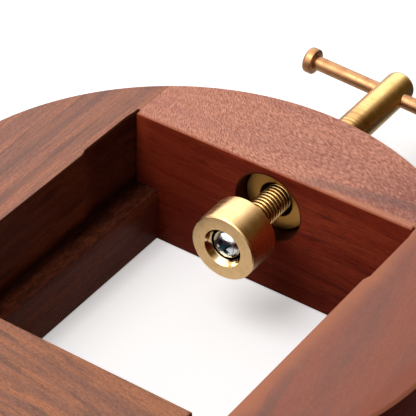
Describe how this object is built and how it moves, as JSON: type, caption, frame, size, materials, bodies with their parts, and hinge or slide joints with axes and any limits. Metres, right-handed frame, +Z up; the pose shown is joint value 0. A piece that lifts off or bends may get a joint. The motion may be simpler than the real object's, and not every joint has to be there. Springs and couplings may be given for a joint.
{
  "type": "seal carving vise",
  "caption": "Round hardwood frame with a square opening; a brass hand screw with a tommy bar drives a pressure pad to clamp a seal stone against the fixed jaw.",
  "frame": {"origin": "centre of the round frame on its underside", "axes": "+Y along the clamp screw towards its handle, +Z up"},
  "size_m": [0.145, 0.1847, 0.0401],
  "materials": {
    "left_wood": "satin oiled rosewood",
    "right_wood": "satin oiled rosewood",
    "screw_block_wood": "satin oiled rosewood",
    "fixed_jaw_wood": "satin oiled rosewood",
    "dowel_wood": "plain beech",
    "bushing_brass": "turned",
    "spindle_brass": "turned and polished",
    "pad_brass": "faced front, polished side",
    "screw_steel": "bright zinc plate",
    "bar_brass": "drawn bar"
  },
  "bodies": {
    "frame": {"left_side_block": "left_wood", "right_side_block": "right_wood", "screw_block": "screw_block_wood", "fixed_jaw_block": "fixed_jaw_wood", "joint_dowels": "dowel_wood", "screw_bushing": "bushing_brass"},
    "pad": {"pressure_pad": "pad_brass"},
    "screw": {"spindle": "spindle_brass", "pad_screw": "screw_steel"},
    "handle_bar": {"tommy_bar": "bar_brass", "tommy_cap_left": "bar_brass", "tommy_cap_right": "bar_brass"}
  },
  "joints": [
    {"name": "screw_feed", "type": "slide", "parent": "frame", "child": "pad", "axis": [0, 1, 0], "range_m": [-0.01325, 0.01425]},
    {"name": "screw_turn", "type": "hinge", "parent": "pad", "child": "screw", "pos_m": [0, 0.06, 0.0276], "axis": [0, 1, 0], "range_deg": [-3817, 4105]},
    {"name": "tommy_slide", "type": "slide", "parent": "screw", "child": "handle_bar", "axis": [0.9987, 0, -0.0506], "range_m": [-0.0196, 0.0196]}
  ],
  "couplings": [
    {"joint": "screw_turn", "follows": "screw_feed", "rad_per_m": 5026.5}
  ]
}
